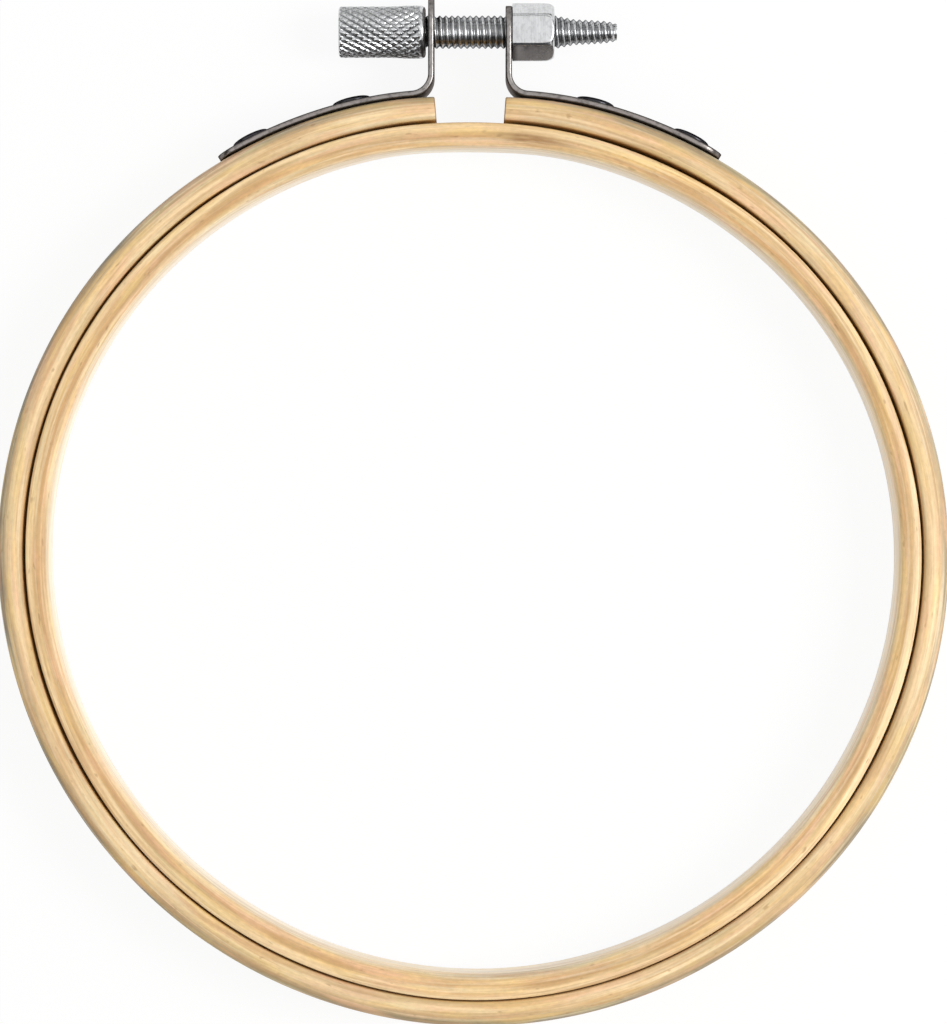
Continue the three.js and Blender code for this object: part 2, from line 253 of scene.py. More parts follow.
def fill_ramp(node, stops):
    """Writes (position, colour) stops to a colour ramp."""
    elements = node.color_ramp.elements
    while len(elements) < len(stops):
        elements.new(0.5)
    for element, (position, colour) in zip(elements, stops):
        element.position = position
        element.color = colour
    return node


def new_material(name):
    """A material with an empty node tree, and that tree."""
    material = bpy.data.materials.new(name)
    material.use_nodes = True
    material.node_tree.nodes.clear()
    return material, material.node_tree


# Nearly all values of the grain's noise lie between these two.
NOISE_SPREAD = (0.3, 0.7)


def grain(tree, surface, size_mm, detail, seed):
    """Noise drawn out along a surface, from its length and width in millimetres."""
    length, width = size_mm
    along = 1000 / length
    moved = add_node(tree, "ShaderNodeMapping", {
        "Location": (seed, seed * 1.7, seed * 0.3),
        "Scale": (along, along, 1000 / width)}, {"Vector": surface})
    return add_node(tree, "ShaderNodeTexNoise", {
        "noise_dimensions": "3D", "Scale": 1.0, "Detail": detail, "Roughness": 0.55},
        {"Vector": moved})


def grain_share(tree, surface, size_mm, detail, seed, spread, shares):
    """A grain that goes from one share to another over a spread of its noise."""
    noise = grain(tree, surface, size_mm, detail, seed)
    return add_node(tree, "ShaderNodeMapRange", {
        "From Min": spread[0], "From Max": spread[1],
        "To Min": shares[0], "To Max": shares[1]}, {"Value": noise})


def round_surface(tree, radius):
    """The surface map bent into a circle, so that the grain has no seam."""
    surface = add_node(tree, "ShaderNodeUVMap", {"uv_map": "Grain"})
    split = add_node(tree, "ShaderNodeSeparateXYZ", None, {"Vector": surface})
    turn = add_node(tree, "ShaderNodeMath", {"operation": "DIVIDE", 1: radius}, {
        0: split.outputs["X"]})
    links = {"Z": split.outputs["Y"]}
    for axis, part in (("X", "COSINE"), ("Y", "SINE")):
        share = add_node(tree, "ShaderNodeMath", {"operation": part}, {0: turn})
        links[axis] = add_node(tree, "ShaderNodeMath", {"operation": "MULTIPLY", 1: radius}, {
            0: share})
    return add_node(tree, "ShaderNodeCombineXYZ", None, links)


def flat_surface(tree):
    """The surface map with its width on Z, as the grain reads it."""
    surface = add_node(tree, "ShaderNodeUVMap", {"uv_map": "Grain"})
    split = add_node(tree, "ShaderNodeSeparateXYZ", None, {"Vector": surface})
    return add_node(tree, "ShaderNodeCombineXYZ", None, {
        "X": split.outputs["X"], "Z": split.outputs["Y"]})


# Tones across each hoop's wall, from its inner face to its outer one: the wood's own bands, with a
# painted highlight on the upper face (mid-face on the outer hoop, beside the joint on the inner
# one) and painted shade on the outer hoop's rounded edges, darkest at its outer edge.
OUTER_TONES_AND_SHADING = (
    (0.0, "#c6a576"), (0.1, "#d3b484"), (0.2, "#e9c899"), (0.33, "#f1d2a2"),
    (0.45, "#efcf9c"), (0.57, "#dabb8b"), (0.7, "#c3a67f"), (0.8, "#a99573"),
    (0.93, "#8c8472"), (1.0, "#787363"))
INNER_TONES_AND_SHADING = (
    (0.0, "#ead8b8"), (0.1, "#ecd1a4"), (0.23, "#dab07b"), (0.37, "#ca9e6c"),
    (0.5, "#cda46e"), (0.64, "#edca95"), (0.77, "#f8d6a2"), (1.0, "#fadeb0"))


def bamboo_material(name, colours, tones_and_shading, inside, outside, wall_from, radius, seed):
    """Split, bent and sanded bamboo under a thin satin lacquer.

    Across the wall the tone holds the wood's own bands, from the soft inside of the culm to its
    hard pale outside, and painted light as well: a painted highlight on the upper face and painted
    shade on the rounded edges.
    Long fibre bands give the eye the straight grain, patches the natural unevenness of the culm,
    and short dark dashes are the cut fibre bundles.
    """
    material, tree = new_material(name)
    surface = round_surface(tree, radius)
    across, depth, cut, raw, stain = (
        add_node(tree, "ShaderNodeAttribute", {"attribute_name": measure}).outputs["Fac"]
        for measure in ("across", "depth", "cut", "raw", "stain"))

    # The tone across the wall, with its painted highlight and painted shade, moved to and fro a
    # little by slow noise.
    shift = grain_share(tree, surface, (26, 2.2), 2, seed + 1.3, NOISE_SPREAD, (-0.07, 0.07))
    moved = add_node(tree, "ShaderNodeMath", {"operation": "ADD"}, {0: across, 1: shift})
    shaded_tone = fill_ramp(
        add_node(tree, "ShaderNodeValToRGB", None, {"Fac": moved}),
        [(place, linear(colour)) for place, colour in tones_and_shading])

    # The upright walls: one tone on the face inside the hoop, another on the outer one.
    wall = add_node(tree, "ShaderNodeMix", {
        "data_type": "RGBA", "A": linear(inside), "B": linear(outside)}, {"Factor": across})
    wall_share = add_node(tree, "ShaderNodeMapRange", {
        "interpolation_type": "SMOOTHSTEP", "From Min": 0.05, "From Max": wall_from,
        "To Min": 0.0, "To Max": 0.95}, {"Value": depth})
    layered = add_node(tree, "ShaderNodeMix", {"data_type": "RGBA"}, {
        "Factor": wall_share, "A": shaded_tone, "B": wall})

    # The faces that bear on the cloth are bare, so they are deeper in tone and don't shine.
    bared = add_node(tree, "ShaderNodeMix", {
        "data_type": "RGBA", "B": linear(colours.bamboo_raw)}, {"Factor": raw, "A": layered})
    shine, coat = (
        add_node(tree, "ShaderNodeMath", {"operation": "MULTIPLY_ADD", 1: -most, 2: most},
                 {0: raw})
        for most in (0.5, 0.12))

    # Each layer: length and width in mm, seed, detail, spread of the noise, most, colour.
    colour = bared
    for size, offset, detail, spread, most, tint in (
            ((20, 0.5), 0.0, 2, (0.5, 0.66), 0.45, colours.bamboo_brown),
            ((20, 0.45), 0.0, 2, (0.5, 0.34), 0.45, colours.bamboo_pale),
            ((9, 1.0), 3.1, 1, (0.52, 0.66), 0.5, colours.bamboo_rose),
            ((9, 1.1), 7.7, 1, (0.54, 0.68), 0.25, colours.bamboo_green),
            ((9, 1.1), 12.7, 1, (0.52, 0.66), 0.4, colours.bamboo_straw),
            ((14, 0.8), 5.3, 2, (0.53, 0.67), 0.55, colours.bamboo_brown),
            ((9, 0.35), 9.1, 2, (0.56, 0.72), 0.5, colours.bamboo_brown),
            ((1.5, 0.5), 11.3, 1, (0.69, 0.79), 0.4, colours.bamboo_dash)):
        share = grain_share(tree, surface, size, detail, seed + offset, spread, (0.0, most))
        colour = add_node(tree, "ShaderNodeMix", {"data_type": "RGBA", "B": linear(tint)}, {
            "Factor": share, "A": colour})

    # Light and dark of one hue: flecks of cut fibres, streaks, and slow unevenness.
    for size, offset, swing in (
            ((0.8, 0.3), 17.9, 0.07), ((14, 0.4), 19.3, 0.11), ((28, 2.2), 23.9, 0.1)):
        level = grain_share(
            tree, surface, size, 2, seed + offset, NOISE_SPREAD, (1 - swing, 1 + swing))
        colour = add_node(tree, "ShaderNodeMix", {
            "data_type": "RGBA", "blend_type": "MULTIPLY", "clamp_result": True,
            "Factor": 1.0}, {"A": colour, "B": level})

    # The walls are planed with the grain, so their bands are fainter than on the sanded faces.
    calm = add_node(tree, "ShaderNodeMath", {"operation": "MULTIPLY", 1: 0.5}, {0: wall_share})
    colour = add_node(tree, "ShaderNodeMix", {"data_type": "RGBA"}, {
        "Factor": calm, "A": colour, "B": bared})

    # A brown stain beside the split, broken up along the grain. The sawn ends drink more
    # lacquer and are as brown.
    patch = grain_share(tree, surface, (3, 0.4), 3, seed + 21.7, (0.38, 0.62), (0.45, 1.0))
    stained = add_node(tree, "ShaderNodeMath", {"operation": "MULTIPLY"}, {0: stain, 1: patch})
    soaked = add_node(tree, "ShaderNodeMath", {"operation": "MULTIPLY", 1: 0.8}, {0: cut})
    for share in (stained, soaked):
        colour = add_node(tree, "ShaderNodeMix", {
            "data_type": "RGBA", "B": linear(colours.bamboo_dash)}, {
            "Factor": share, "A": colour})

    # Fine fibre relief, as deep as the sanding leaves it.
    relief = grain(tree, surface, (14, 0.2), 2, seed + 5.9)
    bump = add_node(tree, "ShaderNodeBump", {
        "Strength": 0.35, "Distance": 0.05 * MM}, {"Height": relief})

    # Satin lacquer on a dry fibre: semi-gloss that breaks up along the grain.
    rough = add_node(tree, "ShaderNodeMapRange", {
        "From Min": NOISE_SPREAD[0], "From Max": NOISE_SPREAD[1],
        "To Min": 0.42, "To Max": 0.62}, {"Value": relief})
    shader = add_node(tree, "ShaderNodeBsdfPrincipled", {
        "IOR": 1.5, "Coat Roughness": 0.35}, {
        "Base Color": colour, "Roughness": rough, "Specular IOR Level": shine,
        "Coat Weight": coat, "Normal": bump})
    add_node(tree, "ShaderNodeOutputMaterial", None, {"Surface": shader})
    return material


def plated_material(name, colours, plate, lines_mm, roughness, mottle, seed,
                    slant_tint="#ffffff"):
    """Rolled or turned steel under nickel plate, or dark and unplated as the rivets are.

    Fine lines left by rolling or turning show through the plate, handling has left dull specks on
    it, painted shade darkens the recesses, and sheared edges are darker and rougher than the faces.
    A tint can darken what the metal mirrors at a slant.
    """
    material, tree = new_material(name)
    surface = flat_surface(tree)
    recess, sheared = (
        add_node(tree, "ShaderNodeAttribute", {"attribute_name": measure}).outputs["Fac"]
        for measure in ("recess", "sheared"))
    lines = grain(tree, surface, lines_mm, 3, seed)
    line_share = add_node(tree, "ShaderNodeMapRange", {
        "From Min": NOISE_SPREAD[0], "From Max": NOISE_SPREAD[1],
        "To Min": 0.0, "To Max": 0.16}, {"Value": lines})
    colour = add_node(tree, "ShaderNodeMix", {
        "data_type": "RGBA", "A": linear(plate), "B": linear(colours.tarnish_and_shade)},
        {"Factor": line_share})
    specks = grain_share(tree, surface, (0.6, 0.35), 2, seed + 4.1, (0.48, 0.66), (0.0, mottle))
    # Sheared edges, dull specks, and painted shade in the recesses.
    for share, tint in (
            (sheared, colours.sheared), (specks, colours.tarnish_and_shade), (recess, colours.tarnish_and_shade)):
        colour = add_node(tree, "ShaderNodeMix", {"data_type": "RGBA", "B": linear(tint)}, {
            "Factor": share, "A": colour})
    rough = grain_share(tree, surface, (2.5, 1.6), 3, seed + 2.3, NOISE_SPREAD,
                        (roughness * 0.7, roughness * 1.4))
    dull = add_node(tree, "ShaderNodeMath", {"operation": "MULTIPLY_ADD", 1: 0.04}, {
        0: sheared, 2: rough})
    bump = add_node(tree, "ShaderNodeBump", {
        "Strength": 0.25, "Distance": 0.01 * MM}, {"Height": lines})
    shader = add_node(tree, "ShaderNodeBsdfPrincipled", {
        "Metallic": 1.0, "Specular Tint": linear(slant_tint)}, {
        "Base Color": colour, "Roughness": dull, "Normal": bump})
    add_node(tree, "ShaderNodeOutputMaterial", None, {"Surface": shader})
    return material


def grid_mesh(name, rows, wrap_rows, wrap_columns, material, **measures):
    """A mesh from rows of (point, uv), closed round the columns if asked."""
    count = len(rows)
    width = len(rows[0])
    mesh = bpy.data.meshes.new(name)
    points = [point for row in rows for point, _ in row]
    faces = []
    corners = []
    last_row = count if wrap_rows else count - 1
    last_column = width if wrap_columns else width - 1
    step_u, step_v = grid_period(rows, wrap_rows, wrap_columns)
    for i in range(last_row):
        for j in range(last_column):
            square = [(i, j), (i + 1, j), (i + 1, j + 1), (i, j + 1)]
            faces.append([(r % count) * width + c % width for r, c in square])
            for r, c in square:
                u, v = rows[r % count][c % width][1]
                corners.append((u + (step_u if r == count else 0),
                                v + (step_v if c == width else 0)))
    if not wrap_rows and wrap_columns:
        for row, order in ((0, 1), (count - 1, -1)):
            faces.append([row * width + c for c in range(width)][::order])
            corners.extend([rows[row][c][1] for c in range(width)][::order])
    mesh.from_pydata(points, [], faces)
    layer = mesh.uv_layers.new(name="Grain")
    layer.data.foreach_set("uv", [value for corner in corners for value in corner])
    for measure, values in measures.items():
        attribute = mesh.attributes.new(measure, "FLOAT", "POINT")
        attribute.data.foreach_set("value", values)
    mesh.materials.append(material)
    mesh.polygons.foreach_set("use_smooth", [True] * len(mesh.polygons))
    piece = bpy.data.objects.new(name, mesh)
    bpy.context.scene.collection.objects.link(piece)
    face_outwards(mesh)
    return piece


def grid_period(rows, wrap_rows, wrap_columns):
    """How far u and v run on over the seam of a closed grid."""
    step_u = 0.0
    step_v = 0.0
    if wrap_rows:
        step_u = (rows[1][0][1][0] - rows[0][0][1][0]) * len(rows)
    if wrap_columns:
        first = Vector(rows[0][0][0])
        last = Vector(rows[0][-1][0])
        step_v = rows[0][-1][1][1] - rows[0][0][1][1] + (first - last).length
    return step_u, step_v


def face_outwards(mesh):
    """Turns every face of a closed mesh outwards."""
    work = bmesh.new()
    work.from_mesh(mesh)
    bmesh.ops.recalc_face_normals(work, faces=work.faces)
    work.to_mesh(mesh)
    work.free()


def sharpen(piece, angle):
    """Keeps edges steeper than the angle crisp."""
    piece.data.set_sharp_from_angle(angle=math.radians(angle))


def with_runs(outline):
    """Points (a, b) as (a, b, run), the run being the way along the outline so far."""
    run = 0.0
    last = outline[0]
    points = []
    for point in outline:
        run += math.hypot(point[0] - last[0], point[1] - last[1])
        points.append((*point, run))
        last = point
    return points


def ring_turns(steps):
    """Even angles round a ring."""
    return [2 * math.pi * step / steps for step in range(steps)]


def turned_piece(name, profile, steps, material, at, axis):
    """A solid of revolution from (radius, distance) points, along axis from at."""
    along = Vector(axis).normalized()
    side = along.orthogonal().normalized()
    up = along.cross(side)
    rows = []
    for radius, distance, run in with_runs(profile):
        row = []
        for turn in ring_turns(steps):
            offset = side * (radius * math.cos(turn)) + up * (radius * math.sin(turn))
            point = Vector(at) + along * distance + offset
            row.append((point, (max(radius, MM) * turn, run)))
        rows.append(row)
    return grid_mesh(name, rows, False, True, material)


def axis_ring(x, radii, map_radius):
    """A ring round the screw's axis with a point for each radius, mapped at one radius."""
    row = []
    for turn, radius in zip(ring_turns(len(radii)), radii):
        point = Vector((
            x, SCREW_Y + radius * math.cos(turn), SCREW_Z + radius * math.sin(turn)))
        row.append((point, (map_radius * turn, x)))
    return row


HOOP_STEPS = 420
# Steps along each rounding and each face of a hoop's section.
ROUNDING_STEPS = 6
FACE_STEPS = 6
# Roundings of the edges in mm, from the outer top edge clockwise to the inner one.
OUTER_ROUNDINGS = (0.95, 0.5, 0.4, 0.3)
INNER_ROUNDINGS = (0.34, 0.5, 0.5, 0.7)
# A sawn end's soft edge: angles from the end, and the share that the section draws in.
SAWN_END = ((0.0, 0.08), (0.0012, 0.02), (0.003, 0.0))
# How much flatter the walls are dressed beside the split: at the joint, how much more away
# from it, the way over which that grows, and the angle that it spans.
DRESSING_AT_JOINT = 0.1 * MM
DRESSING_MORE = 0.25 * MM
DRESSING_WAY = 2.6 * MM
DRESSING_ANGLE = math.radians(9)
# The stain's place and half length as angles from the split, and the same across the wall.
STAIN_TURN = math.radians(7.5)
STAIN_LENGTH = math.radians(4)
STAIN_ACROSS = 0.42
STAIN_WIDTH = 0.22


def hoop_reach(sizes, base, turn):
    """Distance from the hoops' middle at an angle from the split, clockwise from above.

    The hoops are sprung a little wider than tall, and their walls are dressed flatter
    beside the split.
    """
    two_cos, two_sin, three_cos, three_sin = sizes.sprung_shape
    wide = two_cos * math.cos(2 * turn) + two_sin * math.sin(2 * turn)
    third = three_cos * math.cos(3 * turn) + three_sin * math.sin(3 * turn)
    away = (turn + math.pi) % (2 * math.pi) - math.pi
    joint = OUTER_RADIUS - sizes.outer_wall - sizes.joint_gap / 2
    dressing = DRESSING_AT_JOINT + DRESSING_MORE * min(1.0, abs(base - joint) / DRESSING_WAY)
    return base + wide + third - dressing * math.exp(-(away / DRESSING_ANGLE) ** 2)


def hoop_point(sizes, reach, turn, z):
    """A point at a reach and an angle round the hoops."""
    return Vector((
        sizes.clamp_offset + reach * math.sin(turn),
        HOOP_CENTRE_Y + reach * math.cos(turn), z))


def hoop_section(wall, crown, roundings, joint_side):
    """Section of a hoop as (across, up, run), across from the inner face.

    The face at the joint, on side 0 inside the hoop or 1 outside it, is left straight, so
    that the hoops can close on each other. The upper face and the other wall rise in
    their middle, the wall less.
    """
    outer_top, outer_low, inner_low, inner_top = (size * MM for size in roundings)
    corners = [
        (wall - outer_top, HOOP_HEIGHT - outer_top, 90, 0, outer_top),
        (wall - outer_low, outer_low, 0, -90, outer_low),
        (inner_low, inner_low, -90, -180, inner_low),
        (inner_top, HOOP_HEIGHT - inner_top, 180, 90, inner_top),
    ]
    # How far the face after each corner moves across and up for its crown: outer wall,
    # underside, inner wall, upper face.
    moves = ((0.4 * (1 - joint_side), 0), (0, 0), (-0.4 * joint_side, 0), (0, 1))
    points = []
    for index, (x, z, first, last, radius) in enumerate(corners):
        for step in range(ROUNDING_STEPS + 1):
            angle = math.radians(first + (last - first) * step / ROUNDING_STEPS)
            points.append((x + radius * math.cos(angle), z + radius * math.sin(angle)))
        start = points[-1]
        x, z, first, _, radius = corners[(index + 1) % 4]
        angle = math.radians(first)
        target = (x + radius * math.cos(angle), z + radius * math.sin(angle))
        across, up = moves[index]
        for step in range(1, FACE_STEPS):
            part = step / FACE_STEPS
            bulge = crown * 4 * part * (1 - part)
            points.append((start[0] + (target[0] - start[0]) * part + bulge * across,
                           start[1] + (target[1] - start[1]) * part + bulge * up))
    return with_runs(points)


def smooth_share(value, low, high):
    """0 below low, 1 above high, and a soft step between."""
    share = min(max((value - low) / (high - low), 0.0), 1.0)
    return share * share * (3 - 2 * share)


def hoop_measures(section, wall, turns, joint_side, stained):
    """Shares for the material: across the wall, down from the top, at a cut end, raw, stained.

    The joint is on side 0, inside the hoop, or 1, outside it.
    """
    measures = {"across": [], "depth": [], "cut": [], "raw": [], "stain": []}
    for turn, inset in turns:
        away = (turn - STAIN_TURN) / STAIN_LENGTH
        for x, z, _ in section:
            share = x / wall
            deep = 1 - z / HOOP_HEIGHT
            at_joint = abs(share - joint_side) < 0.1
            aside = (share - STAIN_ACROSS) / STAIN_WIDTH
            measures["across"].append(share)
            measures["depth"].append(deep)
            measures["cut"].append(1.0 if inset > 0 else 0.0)
            measures["raw"].append(smooth_share(deep, 0.02, 0.09) if at_joint else 0.0)
            measures["stain"].append(math.exp(-away ** 2 - aside ** 2) if stained else 0.0)
    return measures


def joint_ease(sizes, turn):
    """How far the inner hoop stands back from the outer one at an angle."""
    steps = len(sizes.joint_ease)
    place = turn / (2 * math.pi) * steps
    before = math.floor(place)
    share = smooth_share(place - before, 0.0, 1.0)
    return (sizes.joint_ease[before % steps] * (1 - share)
            + sizes.joint_ease[(before + 1) % steps] * share)


def hoop_rows(sizes, base, section, wall_swing, eased, turns, wander):
    """Rows of points round a hoop; base is the reach of the hoop's inner face."""
    rows = []
    wall = max(point[0] for point in section)
    middle_x = sum(point[0] for point in section) / len(section)
    middle_z = HOOP_HEIGHT / 2
    for turn, inset in turns:
        swing = wall_swing * math.cos(2 * turn)
        ease = joint_ease(sizes, turn) if eased else 0.0
        waver = sum(size * math.sin(count * turn + phase) for size, count, phase in wander)
        row = []
        for across, up, run in section:
            share = across / wall
            thick = across - ease * share - swing * (1 - share)
            x = middle_x + (thick - middle_x) * (1 - inset)
            z = middle_z + (up - middle_z) * (1 - inset * 0.35)
            reach = hoop_reach(sizes, base + x, turn) + waver
            row.append((hoop_point(sizes, reach, turn, z), (base * turn, run)))
        rows.append(row)
    return rows


def slow_wander(seed, size):
    """A few slow waves, as hand-bent bamboo has."""
    chance = random.Random(seed)
    return [(size * chance.uniform(0.4, 1.0) / count, count, chance.uniform(0, 2 * math.pi))
            for count in (3, 5, 8, 13)]


class HOOP_OT_outer(bpy.types.Operator):
    """Add the split outer hoop"""

    bl_idname = "embroidery_hoop.outer"
    bl_label = "Outer hoop"

    def execute(self, context):
        sizes = context.scene.hoop_sizes
        colours = context.scene.hoop_colours
        base = OUTER_RADIUS - sizes.outer_wall
        bamboo = bamboo_material(
            "lacquered_bamboo_outer", colours, OUTER_TONES_AND_SHADING, colours.bamboo_brown,
            colours.bamboo_skin, 0.3, base, 2.0)
        section = hoop_section(sizes.outer_wall, sizes.crown, OUTER_ROUNDINGS, 0)
        aside = math.asin(sizes.clamp_offset / OUTER_RADIUS)
        first = sizes.split_half_angle - aside
        last = 2 * math.pi - sizes.split_half_angle - aside
        soft = SAWN_END[-1][0]
        turns = [(first + way, inset) for way, inset in SAWN_END]
        turns += [(first + soft + (last - first - 2 * soft) * step / HOOP_STEPS, 0.0)
                  for step in range(1, HOOP_STEPS)]
        turns += [(last - way, inset) for way, inset in reversed(SAWN_END)]
        rows = hoop_rows(sizes, base, section, 0.0, False, turns, slow_wander(11, 0.05 * MM))
        piece = grid_mesh("outer_hoop_wood", rows, False, True, bamboo,
                          **hoop_measures(section, sizes.outer_wall, turns, 0, False))
        sharpen(piece, 50)
        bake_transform(piece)
        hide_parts("outer_hoop")
        return {"FINISHED"}


class HOOP_OT_inner(bpy.types.Operator):
    """Add the inner hoop"""

    bl_idname = "embroidery_hoop.inner"
    bl_label = "Inner hoop"

    def execute(self, context):
        sizes = context.scene.hoop_sizes
        colours = context.scene.hoop_colours
        base = OUTER_RADIUS - sizes.outer_wall - sizes.joint_gap - sizes.inner_wall
        # The inside face takes the wall colour, which is partly painted light.
        bamboo = bamboo_material(
            "lacquered_bamboo_inner", colours, INNER_TONES_AND_SHADING, colours.bamboo_wall_and_light,
            colours.bamboo_pale, 0.7, base, 9.0)
        section = hoop_section(sizes.inner_wall, sizes.crown, INNER_ROUNDINGS, 1)
        turns = [(turn, 0.0) for turn in ring_turns(HOOP_STEPS)]
        rows = hoop_rows(sizes, base, section, sizes.wall_swing, True, turns,
                         slow_wander(12, 0.04 * MM))
        piece = grid_mesh("inner_hoop_wood", rows, True, True, bamboo,
                          **hoop_measures(section, sizes.inner_wall, turns, 1, True))
        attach(piece, "inner_ring")
        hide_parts("inner_hoop")
        return {"FINISHED"}


# Points along a strip: on its ear, round its bend and on its flange.
EAR_STEPS = 25
BEND_STEPS = 16
FLANGE_STEPS = 60
HOLE_STEPS = 64
# Corners of a strip's two ends, and the softness of its edges.
EAR_CORNER = 2.6 * MM
FLANGE_CORNER = 2.4 * MM
STRIP_SOFTNESS = 0.27 * MM
# Between the wood and the strip that lies on it.
STRIP_STANDOFF = 0.15 * MM
# Shares of a corner's length at which its curve has points.
CORNER_STATIONS = (0.0, 0.03, 0.1, 0.2, 0.35, 0.55, 0.8)
# Holes in the ears: one holds the nut's neck, the other clears the screw.
NECK_HOLE = 2.6 * MM
SCREW_HOLE = 2.25 * MM


def flange_point(sizes, clamp, side, turn):
    """Middle of a strip on the hoop, and the outward direction there."""
    base = OUTER_RADIUS + STRIP_STANDOFF + clamp.strip_thickness / 2
    here = hoop_point(sizes, hoop_reach(sizes, base, side * turn), side * turn, 0)
    ahead = side * turn + 0.001
    there = hoop_point(sizes, hoop_reach(sizes, base, ahead), ahead, 0)
    tangent = (there - here).normalized()
    return here, Vector((-tangent.y, tangent.x, 0))


def strip_path(sizes, clamp, side, top):
    """Middle line of a bent strip from the ear's top to the flange's end."""
    ear_x = side * (clamp.ear_gap + clamp.strip_thickness) / 2
    bend = clamp.bend_radius + clamp.strip_thickness / 2
    # Halve the range in which the flange has to start for the bend to meet the ear.
    low = math.radians(3)
    high = math.radians(20)
    for _ in range(50):
        turn = (low + high) / 2
        point, outward = flange_point(sizes, clamp, side, turn)
        if side * (point + outward * bend).x < side * ear_x + bend:
            low = turn
        else:
            high = turn
    centre = point + outward * bend
    path = []
    for step in range(EAR_STEPS):
        path.append((Vector((ear_x, top + (centre.y - top) * step / EAR_STEPS, 0)),
                     Vector((side, 0, 0))))
    start = math.pi if side > 0 else 0.0
    end = math.atan2(-outward.y, -outward.x) % (2 * math.pi)
    if side < 0:
        end -= 2 * math.pi
    for step in range(BEND_STEPS + 1):
        angle = start + (end - start) * step / BEND_STEPS
        spoke = Vector((math.cos(angle), math.sin(angle), 0))
        path.append((centre + spoke * bend, -spoke))
    last = clamp.right_flange_angle if side > 0 else clamp.left_flange_angle
    for step in range(1, FLANGE_STEPS + 1):
        here = turn + (last - turn) * step / FLANGE_STEPS
        path.append(flange_point(sizes, clamp, side, here))
    return path


def corner_inset(distance, corner):
    """How far a rounded corner draws an edge in at a distance from the end."""
    if distance >= corner:
        return 0.0
    return corner - math.sqrt(max(corner ** 2 - (corner - distance) ** 2, 0.0))


def strip_rows(path, clamp):
    """Rounded rectangular sections along a strip's path, and how dull and dark each point is.

    The edges are dull from shearing and grow duller and darker from the ear, through the bend,
    towards the flange, and painted shade lies along their rounded corners.
    """
    runs = [0.0]
    for (before, _), (after, _) in zip(path, path[1:]):
        runs.append(runs[-1] + (after - before).length)
    total = runs[-1]
    bend_end = runs[EAR_STEPS + BEND_STEPS]
    stations = [run for run in runs if EAR_CORNER < run < total - FLANGE_CORNER]
    for part in CORNER_STATIONS:
        stations += [part * EAR_CORNER, total - part * FLANGE_CORNER]
    rows = []
    sheared = []
    corner_shade = []
    half_thick = clamp.strip_thickness / 2
    for station in sorted(stations):
        place, outward = at_run(path, runs, station)
        inset = max(corner_inset(station, EAR_CORNER),
                    corner_inset(total - station, FLANGE_CORNER))
        half_wide = max(clamp.strip_width / 2 - inset, STRIP_SOFTNESS * 1.2)
        # The edges grow duller and darker from the ear, through the bend, towards the flange.
        dull = 0.35 + 0.65 * min(1.0, max(0.0, station / bend_end - 0.6))
        row = []
        for out, up, run in with_runs(rounded_rectangle(half_thick, half_wide, STRIP_SOFTNESS)):
            row.append((place + outward * out + Vector((0, 0, SCREW_Z + up)), (station, run)))
            at_edge = half_wide - abs(up) < STRIP_SOFTNESS * 1.1
            on_corner = 0.05 < (half_thick - abs(out)) / STRIP_SOFTNESS < 0.4
            sheared.append(dull if at_edge else 0.0)
            # Painted shade along the rounded corners, deeper where the edges are duller.
            corner_shade.append(0.75 * dull if on_corner else 0.0)
        rows.append(row)
    return rows, sheared, corner_shade


def at_run(path, runs, station):
    """Point and outward direction at a distance along a path."""
    for index in range(len(runs) - 1):
        if station <= runs[index + 1]:
            span = runs[index + 1] - runs[index]
            part = (station - runs[index]) / span if span else 0.0
            place = path[index][0].lerp(path[index + 1][0], part)
            outward = path[index][1].lerp(path[index + 1][1], part).normalized()
            return place, outward
    return path[-1]


def rounded_rectangle(half_x, half_z, soft):
    """Outline of a rectangle with soft corners, clockwise from its lower left."""
    outline = []
    for x, z, first in ((-1, -1, 270), (-1, 1, 180), (1, 1, 90), (1, -1, 0)):
        for step in range(5):
            turn = math.radians(first - 22.5 * step)
            outline.append((x * (half_x - soft) + soft * math.cos(turn),
                            z * (half_z - soft) + soft * math.sin(turn)))
    return outline


def cut_with_cylinder(piece, centre, radius, depth):
    """Drills a hole along X through a piece."""
    bpy.ops.mesh.primitive_cylinder_add(
        vertices=HOLE_STEPS, radius=radius, depth=depth, location=centre,
        rotation=(0, math.pi / 2, 0))
    cutter = bpy.context.active_object
    drill = piece.modifiers.new("hole", "BOOLEAN")
    drill.operation = "DIFFERENCE"
    drill.solver = "EXACT"
    drill.object = cutter
    bake_modifiers(piece)
    bpy.data.objects.remove(cutter, do_unlink=True)


def bake_modifiers(piece):
    """Turns a piece's modifiers into plain mesh."""
    graph = bpy.context.evaluated_depsgraph_get()
    final = bpy.data.meshes.new_from_object(piece.evaluated_get(graph))
    piece.modifiers.clear()
    old = piece.data
    piece.data = final
    bpy.data.meshes.remove(old)


